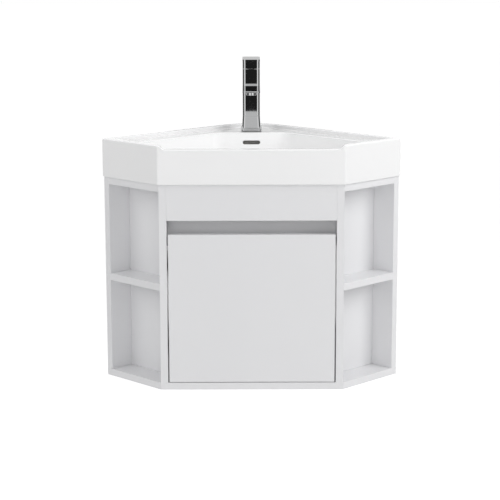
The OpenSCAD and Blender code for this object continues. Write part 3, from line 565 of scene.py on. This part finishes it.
def crease_at(piece, height):
    """Marks the edges that lie level at a plan height as sharp, so that the faces above and below stay flat."""
    mesh = piece.data
    points = np.empty((len(mesh.vertices), 3))
    mesh.vertices.foreach_get("co", points.ravel())
    ends = np.empty((len(mesh.edges), 2), np.int32)
    mesh.edges.foreach_get("vertices", ends.ravel())
    level = np.abs(points[:, 2] * 1000 - CABINET_H - height) < 0.3
    sharp = mesh.attributes.get("sharp_edge") or mesh.attributes.new("sharp_edge", "BOOLEAN", "EDGE")
    marks = np.empty(len(mesh.edges), bool)
    sharp.data.foreach_get("value", marks)
    sharp.data.foreach_set("value", marks | (level[ends[:, 0]] & level[ends[:, 1]]))
    print(piece.name, "creased edges:", int((level[ends[:, 0]] & level[ends[:, 1]]).sum()))


settle(basin, "basin")
# The duct's faces take the second material: bare ware whose dark colour is painted shade for the deep duct.
basin.data.materials.append(bare_ware_and_painted_shade)
middles = np.empty((len(basin.data.polygons), 3))
basin.data.polygons.foreach_get("center", middles.ravel())
middles = middles * 1000 - np.array([0.0, -DEPTH / 2, CABINET_H])
duct_front = BOWL_LEN - 4.6
in_duct = ((np.abs(middles[:, 0]) < SLOT_W / 2 + 0.2) & (middles[:, 1] > duct_front) & (middles[:, 2] > FLOOR_Z)
           & (middles[:, 1] < duct_front + DUCT_T + 1.2) & (middles[:, 2] < DECK_Z - SLOT_DROP + SLOT_H / 2 + 1.7))
basin.data.polygons.foreach_set("material_index", in_duct.astype(np.int32))
print("faces inside the duct:", int(in_duct.sum()))
for node in SLOT_OF:
    if node == "basin":
        continue
    piece = clean_copy(node, node + "_finished")
    width = BEVEL_OF.get(node, BEVEL_MM[SLOT_OF[node]])
    soften(piece, CREASE_DEG)
    if node == "tap_body":
        crease_at(piece, FLARE_TOP)
    if width:
        edge = piece.modifiers.new("rounded_edges", "BEVEL")
        edge.width, edge.segments, edge.limit_method = width / 1000, 2, "ANGLE"
        edge.angle_limit = math.radians(CREASE_DEG)
    piece.modifiers.new("even_normals", "WEIGHTED_NORMAL").keep_sharp = True
    settle(piece, node)
print("pieces on their bodies:", len(SLOT_OF))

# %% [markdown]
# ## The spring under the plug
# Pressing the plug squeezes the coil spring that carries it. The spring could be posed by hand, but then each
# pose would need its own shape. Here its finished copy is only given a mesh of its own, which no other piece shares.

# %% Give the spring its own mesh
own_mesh(bpy.data.objects["plug_spring_finished"])

# %% [markdown]
# ## Studio: a floor that stays white
# The photograph's ground is plain white. A bare floor would show grey, and more light on it would also be more
# light on the object. So the floor keeps an ordinary pale paint, which takes the object's shadow, and only for
# the camera and for mirrors a glow is added that lifts it to white.

# %% Studio floor
STUDIO_FLOOR_Z, MIDDLE_Z, FAR = -0.45, 0.35, 30.0      # metres: the floor, the middle of the unit, the floor's reach


def card(name, corners, colour, rough=0.9):
    """A four-cornered sheet that isn't part of the object."""
    sheet = new_piece(name, np.array(corners, float), np.array([[0, 1, 2, 3]]))
    sheet.data.materials.append(finish(name + "_paint", colour, rough))
    return sheet


studio_floor = card("studio_floor", [(-FAR, -FAR, STUDIO_FLOOR_Z), (FAR, -FAR, STUDIO_FLOOR_Z),
                                     (FAR, FAR, STUDIO_FLOOR_Z), (-FAR, FAR, STUDIO_FLOOR_Z)], (0.86, 0.86, 0.86))
tree = studio_floor.data.materials[0].node_tree
rays = tree.nodes.new("ShaderNodeLightPath")
seen = tree.nodes.new("ShaderNodeMath")
glow = tree.nodes.new("ShaderNodeEmission")
lifted = tree.nodes.new("ShaderNodeAddShader")
mix = tree.nodes.new("ShaderNodeMixShader")
seen.operation = "MAXIMUM"
glow.inputs["Strength"].default_value = 0.6
paint = tree.nodes["Principled BSDF"].outputs[0]
for start, end in ((rays.outputs["Is Camera Ray"], seen.inputs[0]), (rays.outputs["Is Glossy Ray"], seen.inputs[1]),
                   (paint, lifted.inputs[0]), (glow.outputs[0], lifted.inputs[1]), (seen.outputs[0], mix.inputs[0]),
                   (paint, mix.inputs[1]), (lifted.outputs[0], mix.inputs[2]),
                   (mix.outputs[0], tree.nodes["Material Output"].inputs["Surface"])):
    tree.links.new(start, end)
print("floor at", STUDIO_FLOOR_Z)

# %% [markdown]
# ## Studio: cards for the chrome
# Chrome shows nothing of its own, only what stands round it. Black, grey and pale cards stand where the tap's
# faces mirror them: low and high in front, behind, and at both sides. They could be lit by the lamps, but then
# every change of light would change the chrome, so each card glows faintly in its own even shade, and only
# mirrors can see it.

# %% Cards that only mirrors see


def reflected_card(name, corners, shade):
    """A card that only mirrors can see, glowing evenly in one shade: it neither shows nor casts a shadow."""
    sheet = card(name, corners, (0.0, 0.0, 0.0))
    shader = sheet.data.materials[0].node_tree.nodes["Principled BSDF"]
    shader.inputs["Specular IOR Level"].default_value = 0.0
    shader.inputs["Emission Color"].default_value = (shade, shade, shade, 1)
    shader.inputs["Emission Strength"].default_value = 1.0
    sheet.visible_camera = sheet.visible_diffuse = sheet.visible_shadow = sheet.visible_transmission = False


def upright(x0, y0, x1, y1, low, high):
    """Corners of an upright sheet between two points of the floor plan."""
    return [(x0, y0, low), (x1, y1, low), (x1, y1, high), (x0, y0, high)]


BLACK, SIDE_GREY, REAR_GREY, PALE = 0.018, 0.12, 0.62, 0.68
reflected_card("low_black_card", upright(-0.34, -2.3, 0.34, -2.3, 0.287, 0.495), BLACK)
reflected_card("high_black_card", upright(-0.3, -2.3, 0.3, -2.3, 0.9, 1.2), BLACK)
reflected_card("pale_card", upright(-0.36, -2.36, 0.36, -2.36, -0.44, 1.25), PALE)
reflected_card("rear_card", upright(-0.3, 2.4, 0.3, 2.4, 0.68, 1.1), REAR_GREY)
reflected_card("left_card", upright(-1.9, -1.5, -1.9, 2.2, -0.44, 1.05), SIDE_GREY)
reflected_card("right_card", upright(1.9, -1.5, 1.9, 2.2, -0.44, 1.05), SIDE_GREY)
print("cards standing: 6")

# %% [markdown]
# ## Studio: the surround
# The world is an even white room. To the camera, to mirrors and through clear plastic it is exactly white. As
# light on the object it is dimmer, so that the lamps can shape the boards and nothing pale burns out.

# %% The white surround
AIR_LIGHT, AIR_SEEN = 0.44, 1.0
world = bpy.data.worlds.new("studio_air")
bpy.context.scene.world = world
world.use_nodes = True
air = world.node_tree.nodes["Background"]
rays = world.node_tree.nodes.new("ShaderNodeLightPath")
seen = world.node_tree.nodes.new("ShaderNodeMath")
also = world.node_tree.nodes.new("ShaderNodeMath")
strength = world.node_tree.nodes.new("ShaderNodeMapRange")
seen.operation = also.operation = "MAXIMUM"
strength.inputs["To Min"].default_value, strength.inputs["To Max"].default_value = AIR_LIGHT, AIR_SEEN
air.inputs["Color"].default_value = (1, 1, 1, 1)
for start, end in ((rays.outputs["Is Camera Ray"], seen.inputs[0]), (rays.outputs["Is Glossy Ray"], seen.inputs[1]),
                   (seen.outputs[0], also.inputs[0]), (rays.outputs["Is Transmission Ray"], also.inputs[1]),
                   (also.outputs[0], strength.inputs["Value"]), (strength.outputs[0], air.inputs["Strength"])):
    world.node_tree.links.new(start, end)
print("surround lights with", AIR_LIGHT, "and shows as", AIR_SEEN)

# %% [markdown]
# ## Studio: four broad lamps
# One lamp would leave the left niche and the recess above the door too dark. The key stands to the right, a
# weaker fill to the left, one lamp far off in front reaches into the recess, and one overhead lights the ledges.
# Their powers were set by comparing the render with the photograph, board by board.

# %% Lamps


def lamp(name, place, size, power):
    """A square area lamp that faces the middle of the unit. It lights, but mirrors see only the cards."""
    light = bpy.data.lights.new(name, "AREA")
    light.size, light.energy = size, power
    holder = bpy.data.objects.new(name, light)
    bpy.context.scene.collection.objects.link(holder)
    holder.visible_glossy = False
    away = Vector(place) - Vector((0, 0, MIDDLE_Z))
    holder.matrix_world = Matrix.Translation(place) @ away.to_track_quat("Z", "Y").to_matrix().to_4x4()
    print(name, "at", [round(v, 2) for v in place], "with", power, "watts")


def aimed(turn, lift, far):
    """A place as seen from the middle of the unit: turned from the front to the right, lifted, and far off."""
    turn, lift = math.radians(turn), math.radians(lift)
    along = far * math.cos(lift)
    return (along * math.sin(turn), -along * math.cos(turn), MIDDLE_Z + far * math.sin(lift))


lamp("key_light", aimed(64, 28, 2.0), 1.2, 19.8)
lamp("front_light", aimed(-6, 7, 3.9), 2.0, 23)
lamp("fill_light", aimed(-66, 30, 2.0), 1.2, 8.5)
lamp("top_light", (0.0, 0.1, 2.2), 1.2, 5)

# %% [markdown]
# ## Camera
# The photograph's camera was solved from the straight edges of the unit: a long lens, a little above the
# basin, looking eleven degrees down and hardly turned. Its frame is square. No shift and no depth of field
# are needed.

# %% Camera
CAMERA_PLACE, LENS_MM, LOOK_DOWN, LEAN = (-0.0035, -3.3936, 0.9233), 115.1, 11.108, -0.130
camera_data = bpy.data.cameras.new("photo_camera")
camera_data.sensor_width, camera_data.lens = 36.0, LENS_MM
camera = bpy.data.objects.new("photo_camera", camera_data)
bpy.context.scene.collection.objects.link(camera)
pitch, roll = math.radians(90 - LOOK_DOWN), math.radians(LEAN)
camera.matrix_world = (Matrix.Translation(CAMERA_PLACE) @ Matrix.Rotation(pitch, 4, "X")
                       @ Matrix.Rotation(roll, 4, "Z"))
bpy.context.scene.camera = camera
bpy.context.scene.view_settings.view_transform = "Standard"
print("camera at", tuple(round(v, 3) for v in camera.location))
